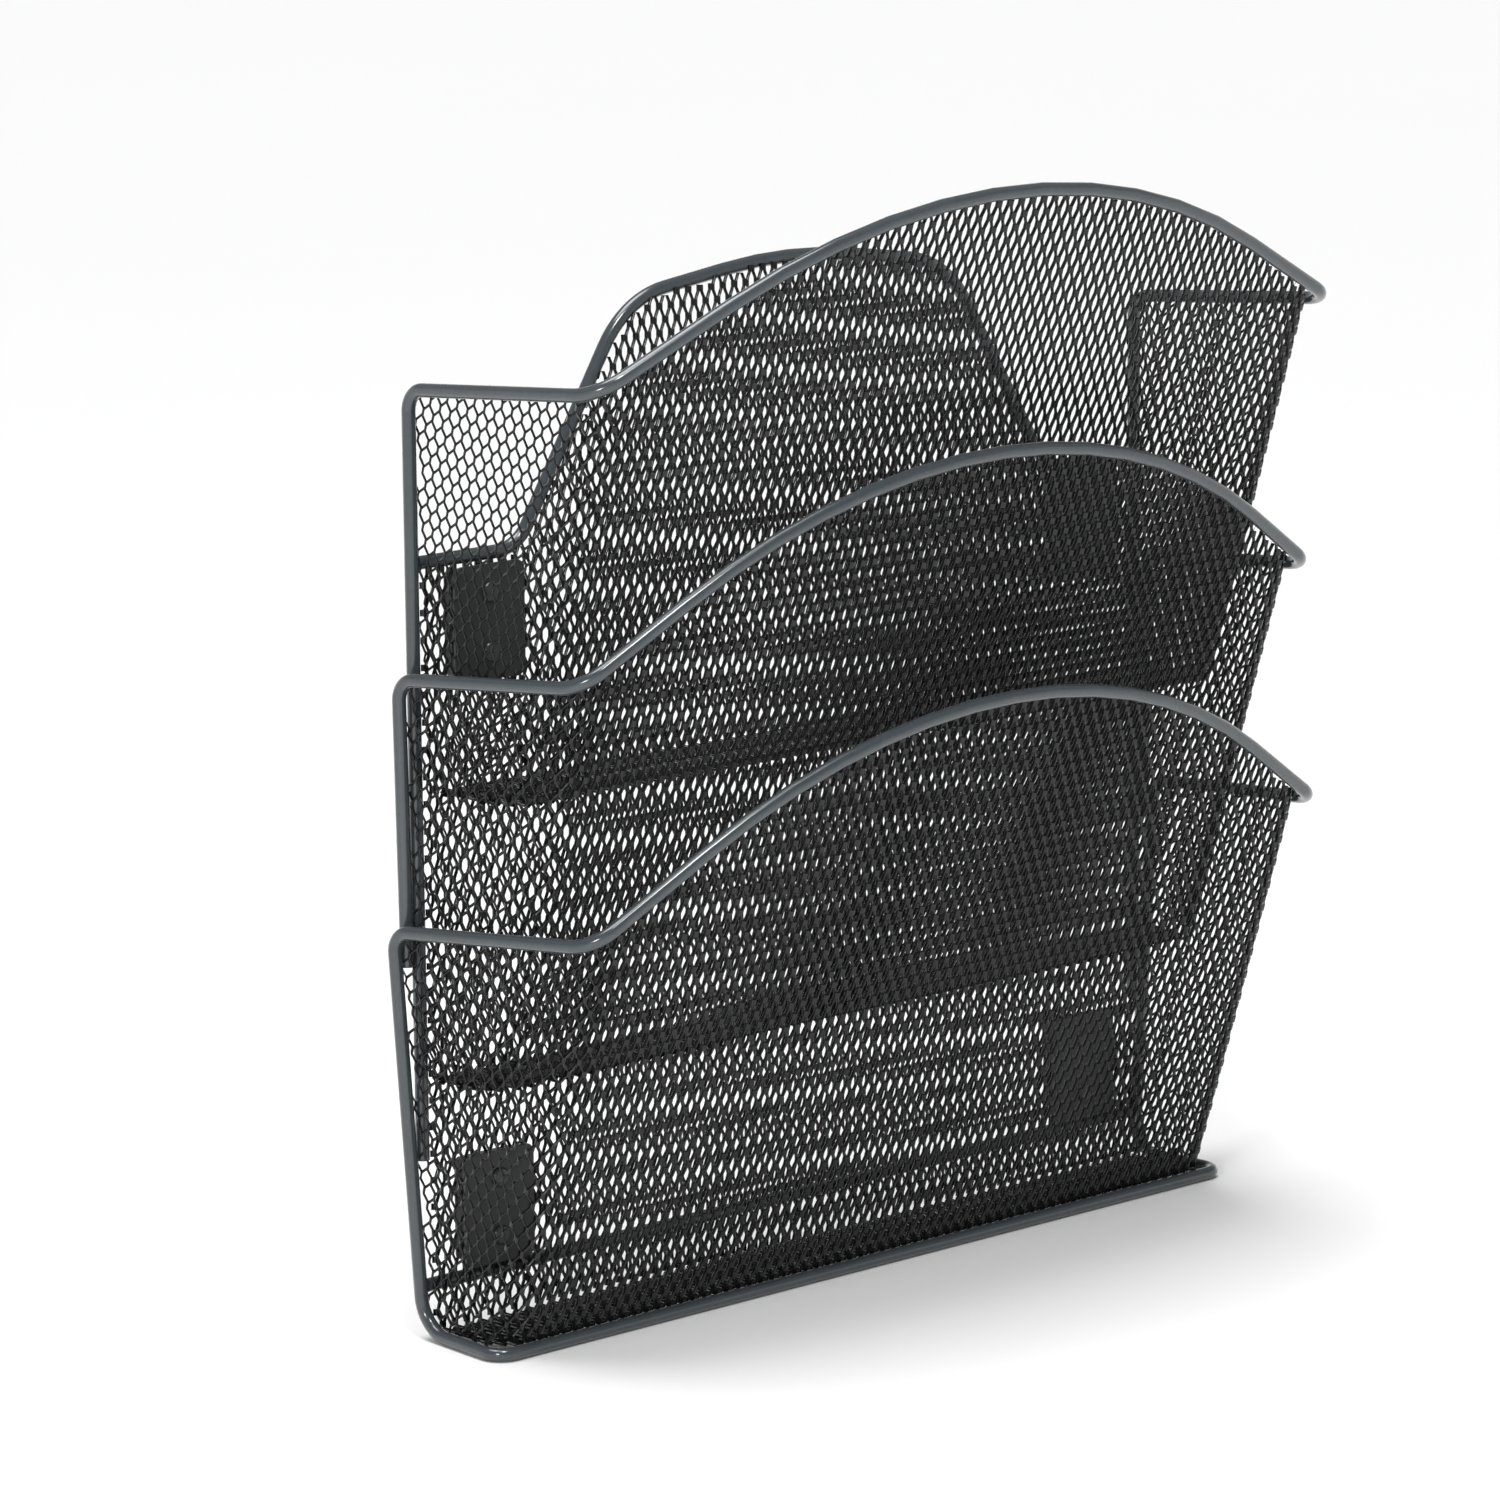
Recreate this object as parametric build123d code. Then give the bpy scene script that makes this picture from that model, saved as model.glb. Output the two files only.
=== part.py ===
from build123d import *

import math
import os
from dataclasses import dataclass

# A wall-hung rack of three letter-size file pockets, one above another.
# Frame: the wall is the plane Y = 0 and the rack stands in front of it on the -Y side, +Z is up,
# X runs along the wall with 0 on the rack's centre line, and Z = 0 is the rack's lowest point.

# Driving dimensions, in millimetres and degrees
WIRE_D = 4.2  # round steel rod of every rim and edge
MESH_T = 0.8  # thickness of the expanded metal sheet
LEG_Y = -3.1  # centre of every rod that runs up or across the wall
FRONT_LEAN = 18.0  # how far each pocket's front leans out from upright
RIM_HALF = 152.5  # centre line of the front rod's corners, from the middle
CORNER_R = 12.0  # bend at each front corner
BACK_BEND_R = 7.0  # bend at the top of each leg
RIM_DROP = 6.5  # how much lower the side rim is at the wall than at the front
SHEET_GAP = 0.03  # air between a rod and the front sheet that is fixed to it
SIDE_GAP = 0.3  # the same at a side sheet, which bows out a little between its straight edges
END_GAP = 0.15  # between a rod's square end and the splayed leg that it is welded to
LOWEST_ROD_Z = WIRE_D / 2

BACK_HALF = 149.8  # half width of the back sheet
BACK_BASE_Z = 1.2
SHOULDER_Z = 235.5  # height of the back rod beside the legs
SHOULDER_X = 111.0
HUMP_X = 67.0
HUMP_Z = 306.0
HUMP_TOP_Z = 315.0
HUMP_RADII = [14.0, 34.0, 200.0, 34.0, 14.0]  # bends of the back rod, from left to right
LOWER_ROD_Z = 16.0

MAGNET_W = 24.0
MAGNET_H = 32.0
MAGNET_X = 125.0
UPPER_MAGNET_Z = 215.5
LOWER_MAGNET_Z = 36.5
PLATE_T = 1.2
PLATE_MARGIN = 1.5  # how far a plate stands past its magnet all round
RIVET_D = 3.2
RIVET_HEAD_D = 6.4
RIVET_HEAD_T = 1.2
RIVET_SPACING = 18.0
RIVET_PLAY = 0.05  # on the radius
TAIL_RECESS_T = 1.8  # depth of the pocket that keeps a rivet's tail below the magnet's face

WIRE_R = WIRE_D / 2
LEAN = math.radians(FRONT_LEAN)
SIDE_INSET = WIRE_R + SIDE_GAP  # from a side rod's centre line to the sheet's outer face
FRONT_INSET = (WIRE_R + SHEET_GAP) / math.cos(LEAN)
BACK_FRONT_Y = LEG_Y - WIRE_R - MESH_T  # front face of the back sheet
SIDE_REAR_Y = BACK_FRONT_Y - SHEET_GAP  # rear edge of the sides, just clear of the back sheet
OPEN_REAR_Y = 10.0  # the cutting shapes run out behind the wall plane
BIG = 400.0  # further than any part of the rack reaches


@dataclass(frozen=True)
class Pocket:
    """One pocket: its heights, its depth and where its legs stand."""

    name: str
    floor_z: float
    rim_z: float  # rim rod at the front corners
    rim_y: float  # rim rod at the front corners
    arch_rise: float  # straight up, from the corners to the middle of the front
    arch_angle: float  # slope of the front rim beside its corners
    leg_top_half: float
    leg_foot_half: float
    leg_foot_z: float
    base_half: float  # rod line that the sheet's front corners would follow at the floor

    @property
    def leg_top_z(self):
        """Height of the side rim where it meets the wall."""
        return self.rim_z - RIM_DROP

    def front_y(self, z):
        """Depth of the leaning front, on the rim rod's centre plane."""
        return self.rim_y - (z - self.rim_z) * math.tan(LEAN)

    def leg_half(self, z):
        """Half width between the legs, which splay towards their tops."""
        slope = (self.leg_top_half - self.leg_foot_half) / (self.leg_top_z - self.leg_foot_z)
        return self.leg_top_half + (z - self.leg_top_z) * slope

    def corner_half(self, z):
        """Half width of the front corners, which narrow towards the floor."""
        slope = (RIM_HALF - self.base_half) / (self.rim_z - self.floor_z)
        return RIM_HALF + (z - self.rim_z) * slope

    def front_plane(self):
        """Plane of the front rim, with its local Y up the lean."""
        normal = (0, -math.cos(LEAN), -math.sin(LEAN))
        return Plane(origin=(0, self.rim_y, self.rim_z), x_dir=(1, 0, 0), z_dir=normal)

    def arch_peak(self):
        """Height, up the lean, where the rim's two straight flanks would cross."""
        return RIM_HALF * math.tan(math.radians(self.arch_angle))

    def arch_radius(self):
        """Radius of the arc that rounds that crossing down to the wanted rise."""
        angle = math.radians(self.arch_angle)
        rise = self.arch_rise / math.cos(LEAN)
        return (self.arch_peak() - rise) / (1 / math.cos(angle) - 1)


TOP = Pocket("top", 167.0, 293.6, -88.0, 46.9, 27.4, 151.5, 151.5, 55.0, 153.0)
MIDDLE = Pocket("middle", 80.0, 208.2, -79.4, 53.9, 32.8, 157.3, 156.0, 115.0, 153.0)
BOTTOM = Pocket("bottom", LOWEST_ROD_Z, 132.8, -82.8, 55.7, 33.1, 161.1, 153.2, 14.0, 154.5)
POCKETS = (TOP, MIDDLE, BOTTOM)


def rod(path):
    """Round rod along a path of straight runs and arcs."""
    start = Plane(origin=path @ 0, z_dir=path % 0)
    return sweep(start * Circle(WIRE_R), path=path)


def mirrored(points):
    """The points, then their mirror images in X in reverse order, without repeating the middle."""
    return points + [(-x, y, z) for x, y, z in reversed(points[:-1])]


def rim_points(pocket):
    """Corners of the rim rod from the top of the left leg to the top of the right one."""
    peak = pocket.front_plane().from_local_coords(Vector(0, pocket.arch_peak(), 0))
    leg_top = (-pocket.leg_top_half, LEG_Y, pocket.leg_top_z)
    front_corner = (-RIM_HALF, pocket.rim_y, pocket.rim_z)
    return mirrored([leg_top, front_corner, (peak.X, peak.Y, peak.Z)])


def open_rim_rod(pocket):
    """Rim rod whose two ends run down the wall as legs."""
    foot = (-pocket.leg_foot_half, LEG_Y, pocket.leg_foot_z)
    other_foot = (pocket.leg_foot_half, LEG_Y, pocket.leg_foot_z)
    points = [foot] + rim_points(pocket) + [other_foot]
    radii = [BACK_BEND_R, CORNER_R, pocket.arch_radius(), CORNER_R, BACK_BEND_R]
    return rod(FilletPolyline(*points, radius=radii))


def closed_rim_rod(pocket):
    """Rim rod that goes down its legs and on round the floor as one loop."""
    base_bend_r = 11.0
    base_corner_r = 6.0
    wall_half = pocket.leg_half(pocket.floor_z)
    front_y = pocket.front_y(pocket.floor_z)
    wall_corner = (wall_half, LEG_Y, pocket.floor_z)
    front_corner = (pocket.base_half, front_y, pocket.floor_z)
    base = [
        wall_corner,
        front_corner,
        (-front_corner[0], front_corner[1], front_corner[2]),
        (-wall_corner[0], wall_corner[1], wall_corner[2]),
    ]
    rim_radii = [BACK_BEND_R, CORNER_R, pocket.arch_radius(), CORNER_R, BACK_BEND_R]
    base_radii = [base_bend_r, base_corner_r, base_corner_r, base_bend_r]
    path = FilletPolyline(*rim_points(pocket), *base, radius=rim_radii + base_radii, close=True)
    return rod(path)


def back_top_rod():
    """Rod along the top of the back sheet: level shoulders and a raised middle."""
    inner_end = TOP.leg_top_half - WIRE_R - END_GAP
    left = [
        (-inner_end, LEG_Y, SHOULDER_Z),
        (-SHOULDER_X, LEG_Y, SHOULDER_Z),
        (-HUMP_X, LEG_Y, HUMP_Z),
        (0, LEG_Y, HUMP_TOP_Z),
    ]
    return rod(FilletPolyline(*mirrored(left), radius=HUMP_RADII))


def back_lower_rod():
    """Straight rod across the wall side, between the legs of the bottom pocket."""
    inner_end = BOTTOM.leg_half(LOWER_ROD_Z - WIRE_R) - WIRE_R - END_GAP
    return rod(Line((-inner_end, LEG_Y, LOWER_ROD_Z), (inner_end, LEG_Y, LOWER_ROD_Z)))


def tub_section(pocket, z, inset, rear_y):
    """Plan of the pocket at one height, its front corners rounded, drawn in from the rods."""
    wall_half = pocket.leg_half(z) - SIDE_INSET - inset
    front_half = pocket.corner_half(z) - SIDE_INSET - inset
    front_y = pocket.front_y(z) + FRONT_INSET + inset / math.cos(LEAN)
    splay = (wall_half - front_half) / (LEG_Y - front_y)
    rear_half = wall_half + (rear_y - LEG_Y) * splay
    plan = Polygon(
        (-rear_half, rear_y),
        (-front_half, front_y),
        (front_half, front_y),
        (rear_half, rear_y),
        align=None,
    )
    front_corners = plan.vertices().sort_by(Axis.Y)[:2]
    return Pos(0, 0, z) * fillet(front_corners, CORNER_R - inset)


def tub(pocket, inset, rear_y):
    """Solid pocket shape from its floor to well above its rim."""
    top_z = pocket.rim_z + pocket.arch_rise + CORNER_R
    lower = tub_section(pocket, pocket.floor_z, inset, rear_y)
    upper = tub_section(pocket, top_z, inset, rear_y)
    return loft([lower, upper], ruled=True)


def below_corner(pocket, side):
    """Everything under the plane of the side rim and the front rim where they meet."""
    angle = math.radians(pocket.arch_angle)
    corner = Vector(side * RIM_HALF, pocket.rim_y, pocket.rim_z)
    wall_end = Vector(side * pocket.leg_top_half, LEG_Y, pocket.leg_top_z)
    flank = Vector(-side * math.cos(angle), math.sin(angle), 0)
    up_the_flank = pocket.front_plane().from_local_coords(flank) - pocket.front_plane().origin
    normal = (wall_end - corner).cross(up_the_flank) * side
    cut_plane = Plane(origin=corner, x_dir=up_the_flank, z_dir=normal)
    return cut_plane * Pos(0, 0, -BIG / 2) * Box(2 * BIG, 2 * BIG, BIG)


def below_front_arch(pocket):
    """Everything under the arched front rim, straight through from front to wall."""
    arch = FilletPolyline(
        (-RIM_HALF, 0), (0, pocket.arch_peak()), (RIM_HALF, 0), radius=pocket.arch_radius()
    )
    left_end = -pocket.arch_peak() - BIG
    ends = Polyline((RIM_HALF, 0), (BIG, 0), (BIG, left_end), (-BIG, left_end), (-BIG, 0))
    close = Line((-BIG, 0), (-RIM_HALF, 0))
    outline = make_face([*arch.edges(), *ends.edges(), *close.edges()])
    return extrude(pocket.front_plane() * outline, BIG, dir=(0, 1, 0), both=True)


def wrap_sheet(pocket):
    """Expanded metal sheet that makes both sides and the front in one piece."""
    shell = tub(pocket, 0, SIDE_REAR_Y) - tub(pocket, MESH_T, OPEN_REAR_Y)
    return shell & below_front_arch(pocket) & below_corner(pocket, -1) & below_corner(pocket, 1)


def floor_sheet(pocket):
    """Flat expanded metal floor, inside the foot of the wrap sheet."""
    plan = tub_section(pocket, pocket.floor_z, MESH_T + SHEET_GAP, SIDE_REAR_Y)
    return extrude(plan, MESH_T, dir=(0, 0, 1))


def rivet_places():
    """Centres of the rivets as X and Z, two for each magnet."""
    for x, z in magnet_places().values():
        for offset in (-RIVET_SPACING / 2, RIVET_SPACING / 2):
            yield x, z + offset


def magnet_places():
    """Name of each magnet and its centre as X and Z."""
    return {
        "upper_left": (-MAGNET_X, UPPER_MAGNET_Z),
        "upper_right": (MAGNET_X, UPPER_MAGNET_Z),
        "lower_left": (-MAGNET_X, LOWER_MAGNET_Z),
        "lower_right": (MAGNET_X, LOWER_MAGNET_Z),
    }


def cross_cylinder(x, z, radius, front_y, rear_y):
    """Cylinder square to the wall, between two depths."""
    middle = Location((x, (front_y + rear_y) / 2, z), (90, 0, 0))
    return middle * Cylinder(radius, rear_y - front_y)


def rivet_holes(radius, front_y, rear_y):
    """A cutting cylinder for every rivet."""
    return [cross_cylinder(x, z, radius, front_y, rear_y) for x, z in rivet_places()]


def back_sheet():
    """Expanded metal back: straight sides, level shoulders and a raised middle."""
    top = FilletPolyline(
        (-BACK_HALF, SHOULDER_Z),
        (-SHOULDER_X, SHOULDER_Z),
        (-HUMP_X, HUMP_Z),
        (0, HUMP_TOP_Z),
        (HUMP_X, HUMP_Z),
        (SHOULDER_X, SHOULDER_Z),
        (BACK_HALF, SHOULDER_Z),
        radius=HUMP_RADII,
    )
    rest = Polyline(
        (BACK_HALF, SHOULDER_Z),
        (BACK_HALF, BACK_BASE_Z),
        (-BACK_HALF, BACK_BASE_Z),
        (-BACK_HALF, SHOULDER_Z),
    )
    outline = make_face([*top.edges(), *rest.edges()])
    front_face = Plane(origin=(0, BACK_FRONT_Y, 0), x_dir=(1, 0, 0), z_dir=(0, -1, 0))
    sheet = extrude(front_face * outline, -MESH_T)
    return sheet - rivet_holes(RIVET_D / 2 + RIVET_PLAY, -BIG, BIG)


def magnet(x, z):
    """Rubber-coated block magnet whose rear face is the face that holds the rack up."""
    edge_r = 2.0
    rear_of_sheet = BACK_FRONT_Y + MESH_T
    block = Pos(x, rear_of_sheet / 2, z) * Box(MAGNET_W, -rear_of_sheet, MAGNET_H)
    block = fillet(block.edges().filter_by(Axis.Y), edge_r)
    block -= rivet_holes(RIVET_D / 2 + RIVET_PLAY, -BIG, BIG)
    return block - rivet_holes(RIVET_HEAD_D / 2 + RIVET_PLAY, -TAIL_RECESS_T, BIG)


def clamp_plate(x, z):
    """Thin steel plate on the pocket side that spreads the rivets' pull over the sheet."""
    edge_r = 3.0
    front_y = BACK_FRONT_Y - PLATE_T
    width = MAGNET_W + 2 * PLATE_MARGIN
    height = MAGNET_H + 2 * PLATE_MARGIN
    plate = Pos(x, front_y + PLATE_T / 2, z) * Box(width, PLATE_T, height)
    plate = fillet(plate.edges().filter_by(Axis.Y), edge_r)
    return plate - rivet_holes(RIVET_D / 2 + RIVET_PLAY, -BIG, BIG)


def rivet(x, z):
    """Rivet with a domed head on the plate and a tail set into the back of the magnet."""
    plate_y = BACK_FRONT_Y - PLATE_T
    tail_y = -TAIL_RECESS_T
    shank = cross_cylinder(x, z, RIVET_D / 2, plate_y, tail_y)
    head = cross_cylinder(x, z, RIVET_HEAD_D / 2, plate_y - RIVET_HEAD_T, plate_y)
    rim = head.edges().sort_by(Axis.Y)[0]
    head = fillet(rim, RIVET_HEAD_T * 0.8)
    tail = cross_cylinder(x, z, RIVET_HEAD_D / 2, tail_y, tail_y + RIVET_HEAD_T)
    return shank + head + tail


def build_nodes():
    """Every sub-part of the rack by the name of its node."""
    nodes = {
        "top_pocket_rim_rod": open_rim_rod(TOP),
        "middle_pocket_rim_rod": open_rim_rod(MIDDLE),
        "bottom_pocket_rim_and_base_rod": closed_rim_rod(BOTTOM),
        "back_top_rod": back_top_rod(),
        "back_lower_rod": back_lower_rod(),
        "back_mesh_panel": back_sheet(),
    }
    for pocket in POCKETS:
        nodes[f"{pocket.name}_pocket_wrap_mesh"] = wrap_sheet(pocket)
        nodes[f"{pocket.name}_pocket_floor_mesh"] = floor_sheet(pocket)
    for name, (x, z) in magnet_places().items():
        nodes[f"{name}_magnet"] = magnet(x, z)
        nodes[f"{name}_magnet_plate"] = clamp_plate(x, z)
    nodes["magnet_rivets"] = Compound(children=[rivet(x, z) for x, z in rivet_places()])
    return nodes


def main():
    """Write one STEP file for each node."""
    os.makedirs("parts", exist_ok=True)
    for name, shape in build_nodes().items():
        export_step(shape, f"parts/{name}.step")
        print(name, round(shape.volume, 1))


main()
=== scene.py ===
import logging
import math
from dataclasses import dataclass
from enum import Enum

import bmesh
import bpy
import numpy as np
from mathutils import Matrix, Vector


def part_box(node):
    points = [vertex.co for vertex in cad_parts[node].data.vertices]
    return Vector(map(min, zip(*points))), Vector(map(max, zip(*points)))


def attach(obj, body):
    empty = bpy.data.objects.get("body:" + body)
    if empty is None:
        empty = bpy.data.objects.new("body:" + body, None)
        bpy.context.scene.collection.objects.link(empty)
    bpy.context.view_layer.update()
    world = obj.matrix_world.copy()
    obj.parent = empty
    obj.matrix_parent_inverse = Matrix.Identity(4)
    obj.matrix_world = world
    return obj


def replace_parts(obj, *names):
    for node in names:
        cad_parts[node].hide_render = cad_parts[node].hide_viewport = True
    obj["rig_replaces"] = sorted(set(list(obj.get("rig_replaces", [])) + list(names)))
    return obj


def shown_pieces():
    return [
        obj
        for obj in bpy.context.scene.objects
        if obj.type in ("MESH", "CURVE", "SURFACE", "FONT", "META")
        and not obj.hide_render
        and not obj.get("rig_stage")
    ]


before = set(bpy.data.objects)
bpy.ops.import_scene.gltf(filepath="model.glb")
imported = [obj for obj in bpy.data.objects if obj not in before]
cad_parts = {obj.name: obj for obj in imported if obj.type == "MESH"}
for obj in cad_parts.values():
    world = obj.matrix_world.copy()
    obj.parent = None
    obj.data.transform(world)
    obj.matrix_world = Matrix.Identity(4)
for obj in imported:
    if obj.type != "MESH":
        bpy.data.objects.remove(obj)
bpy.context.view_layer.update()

log = logging.getLogger("file_rack")
logging.basicConfig(level=logging.INFO, format="%(message)s")

MM = 0.001
Point = tuple[float, float, float]

WIRE_R = 2.1
MESH_T = 0.8
EDGE_LIFT = 0.3  # a wrap's lower edge above its floor
PAST_LEG = 0.5  # how far behind the legs' centre line a wrap ends
WRAP_ROWS = 26  # rows of faces up a wrap
LEG_Y = -3.1
LEAN = math.radians(18.0)
RIM_HALF = 152.5
CORNER_R = 12.0
BACK_BEND_R = 7.0
BASE_BEND_R = 11.0
BASE_CORNER_R = 6.0
RIM_DROP = 6.5
SIDE_INSET = 2.4
FRONT_INSET = 2.13 / math.cos(LEAN)
BACK_FRONT_Y = LEG_Y - WIRE_R - MESH_T
UP_THE_LEAN = np.array([0.0, -math.sin(LEAN), math.cos(LEAN)])
BEHIND_THE_LEAN = np.array([0.0, math.cos(LEAN), math.sin(LEAN)])


class Slot(Enum):
    """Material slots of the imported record."""

    ROD = "rod"
    MESH = "mesh"
    MAGNET = "magnet"
    PLATE = "plate"
    RIVET = "rivet"


# ---------------------------------------------------------------- node helpers


def pick(sockets: bpy.types.bpy_prop_collection, key: str | int) -> bpy.types.NodeSocket:
    """Find a socket by index, identifier or name, preferring one that is switched on.

    Args:
        sockets: A node's inputs or outputs.
        key: Index, identifier or shown name.

    Returns:
        The socket.
    """
    if isinstance(key, int):
        return sockets[key]
    named = [s for s in sockets if key in (s.identifier, s.name)]
    live = [s for s in named if s.enabled]
    return (live or named)[0]


class NodeTree:
    """A node tree that is filled by one method."""

    def __init__(self, tree: bpy.types.NodeTree) -> None:
        """Hold the tree and clear it."""
        self.tree = tree
        tree.nodes.clear()

    def node(
        self, kind: str, settings: dict[str, object] | None = None, **values: object
    ) -> bpy.types.Node:
        """Add a node, set it up, then fill its sockets.

        Args:
            kind: Blender's node type.
            settings: The node's own properties, set before its sockets.
            **values: Socket values or links, keyed by name with _ for a space.

        Returns:
            The new node.
        """
        made = self.tree.nodes.new(kind)
        for key, value in (settings or {}).items():
            if key == "stops":
                self._stops(made, value)
            else:
                setattr(made, key, value)
        for key, value in values.items():
            self.feed(pick(made.inputs, key.replace("_", " ").strip()), value)
        return made

    def feed(self, socket: bpy.types.NodeSocket, value: object) -> None:
        """Link or set one input socket.

        Args:
            socket: The input to fill.
            value: A socket or Value to link, or a plain value to set.
        """
        if isinstance(value, Value):
            value = value.socket
        if isinstance(value, bpy.types.NodeSocket):
            self.tree.links.new(value, socket)
        else:
            socket.default_value = value

    @staticmethod
    def _stops(ramp: bpy.types.Node, stops: list[tuple[float, tuple]]) -> None:
        """Set a colour ramp's stops.

        Args:
            ramp: The ramp node.
            stops: Place and colour of each stop, from low to high.
        """
        elements = ramp.color_ramp.elements
        while len(elements) > 1:
            elements.remove(elements[-1])
        elements[0].position, elements[0].color = stops[0]
        for place, colour in stops[1:]:
            elements.new(place).color = colour

    def out(self, node: bpy.types.Node, key: str | int = 0) -> "Value":
        """Wrap a node's output so that sums can be written with it."""
        return Value(self, pick(node.outputs, key))


@dataclass(frozen=True)
class Value:
    """A socket that adds its Math nodes when it is used in an expression."""

    tree: NodeTree
    socket: bpy.types.NodeSocket

    def _math(self, operation: str, a: object, b: object) -> "Value":
        """Add one Math node.

        Args:
            operation: Blender's name for the sum.
            a: First term.
            b: Second term.

        Returns:
            The node's result.
        """
        made = self.tree.node("ShaderNodeMath", {"operation": operation})
        self.tree.feed(made.inputs[0], a)
        self.tree.feed(made.inputs[1], b)
        return Value(self.tree, made.outputs[0])

    def __add__(self, other: object) -> "Value":
        """Sum."""
        return self._math("ADD", self, other)

    def __radd__(self, other: object) -> "Value":
        """Sum, reflected."""
        return self._math("ADD", other, self)

    def __sub__(self, other: object) -> "Value":
        """Difference."""
        return self._math("SUBTRACT", self, other)

    def __rsub__(self, other: object) -> "Value":
        """Difference, reflected."""
        return self._math("SUBTRACT", other, self)

    def __mul__(self, other: object) -> "Value":
        """Product."""
        return self._math("MULTIPLY", self, other)

    def __rmul__(self, other: object) -> "Value":
        """Product, reflected."""
        return self._math("MULTIPLY", other, self)

    def __truediv__(self, other: object) -> "Value":
        """Quotient."""
        return self._math("DIVIDE", self, other)

    def __mod__(self, other: object) -> "Value":
        """Remainder."""
        return self._math("MODULO", self, other)

    def floor(self) -> "Value":
        """Largest whole number below."""
        return self._math("FLOOR", self, 0.0)


# -------------------------------------------------------------------- finishes


@dataclass(frozen=True)
class CoatFinish:
    """Powder coat on steel: an even colour, a fine orange peel and faint handling marks."""

    name: str
    colour: tuple[float, float, float]
    roughness: float
    coat: float
    peel_size: float
    peel_depth: float
    mottle: float = 0.18
    specular: float = 0.5

    def material(self) -> bpy.types.Material:
        """Build the material.

        Returns:
            A node material on Object coordinates.
        """
        made = bpy.data.materials.new(self.name)
        made.use_nodes = True
        tree = NodeTree(made.node_tree)
        place = tree.node("ShaderNodeTexCoord").outputs["Object"]
        cloud = tree.node(
            "ShaderNodeTexNoise", Vector=place, Scale=38.0, Detail=3.0, Roughness=0.55
        )
        peel = tree.node("ShaderNodeTexNoise", Vector=place, Scale=1 / self.peel_size, Detail=2.0)
        speck = tree.node("ShaderNodeTexVoronoi", Vector=place, Scale=0.45 / self.peel_size)
        clouds = tree.out(cloud, "Fac")
        grain = tree.out(peel, "Fac")
        dots = tree.out(speck, "Distance")
        low = tuple(c * (1 - self.mottle) for c in self.colour) + (1.0,)
        high = tuple(min(1.0, c * (1 + self.mottle) + 0.004) for c in self.colour) + (1.0,)
        tint = tree.node("ShaderNodeMix", {"data_type": "RGBA"})
        tree.feed(pick(tint.inputs, "Factor_Float"), clouds * 0.7 + dots * 0.35)
        tree.feed(pick(tint.inputs, "A_Color"), low)
        tree.feed(pick(tint.inputs, "B_Color"), high)
        rough = clouds * 0.10 + grain * 0.06 + (self.roughness - 0.08)
        bump = tree.node(
            "ShaderNodeBump",
            Strength=0.35,
            Distance=self.peel_depth,
            Height=grain * 0.7 + dots * 0.3,
        )
        shader = tree.node(
            "ShaderNodeBsdfPrincipled",
            Base_Color=tree.out(tint, "Result_Color"),
            Roughness=rough,
            Metallic=0.0,
            IOR=1.5,
            Specular_IOR_Level=self.specular,
            Coat_Weight=self.coat,
            Coat_Roughness=0.12,
            Normal=tree.out(bump, "Normal"),
        )
        tree.node("ShaderNodeOutputMaterial", Surface=shader.outputs[0])
        return made


@dataclass(frozen=True)
class RubberFinish:
    """Matt rubber skin with a moulded grain and a little rubbed-on dust."""

    name: str
    colour: tuple[float, float, float]
    dust: tuple[float, float, float]

    def material(self) -> bpy.types.Material:
        """Build the material.

        Returns:
            A node material on Object coordinates.
        """
        made = bpy.data.materials.new(self.name)
        made.use_nodes = True
        tree = NodeTree(made.node_tree)
        place = tree.node("ShaderNodeTexCoord").outputs["Object"]
        rub = tree.node("ShaderNodeTexNoise", Vector=place, Scale=150.0, Detail=5.0, Roughness=0.65)
        grain = tree.node("ShaderNodeTexNoise", Vector=place, Scale=2600.0, Detail=2.0)
        rubbed = tree.out(rub, "Fac")
        dusty = tree.node(
            "ShaderNodeValToRGB", {"stops": [(0.5, (0, 0, 0, 1)), (0.72, (1, 1, 1, 1))]}, Fac=rubbed
        )
        tint = tree.node("ShaderNodeMix", {"data_type": "RGBA"})
        tree.feed(pick(tint.inputs, "Factor_Float"), tree.out(dusty, "Color") * 0.5)
        tree.feed(pick(tint.inputs, "A_Color"), self.colour + (1.0,))
        tree.feed(pick(tint.inputs, "B_Color"), self.dust + (1.0,))
        bump = tree.node(
            "ShaderNodeBump", Strength=0.3, Distance=0.00006, Height=tree.out(grain, "Fac")
        )
        shader = tree.node(
            "ShaderNodeBsdfPrincipled",
            Base_Color=tree.out(tint, "Result_Color"),
            Roughness=rubbed * 0.2 + 0.58,
            Metallic=0.0,
            Normal=tree.out(bump, "Normal"),
        )
        tree.node("ShaderNodeOutputMaterial", Surface=shader.outputs[0])
        return made


ROD_COAT = CoatFinish(
    "charcoal_satin_powder_coat", (0.040, 0.049, 0.054), 0.19, 0.4, 0.0007, 0.00002
)
MESH_COAT = CoatFinish(
    "black_gloss_dip_coat", (0.003, 0.0033, 0.0035), 0.22, 0.1, 0.0006, 0.00003, specular=0.36
)
PLATE_COAT = CoatFinish("black_plate_coat", (0.016, 0.017, 0.018), 0.38, 0.1, 0.0005, 0.00002)
RIVET_COAT = CoatFinish("black_rivet_coat", (0.024, 0.026, 0.028), 0.26, 0.3, 0.0004, 0.00001)
RUBBER = RubberFinish("black_rubber_skin", (0.018, 0.018, 0.019), (0.06, 0.06, 0.06))


# ------------------------------------------------------------- geometry nodes


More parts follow.
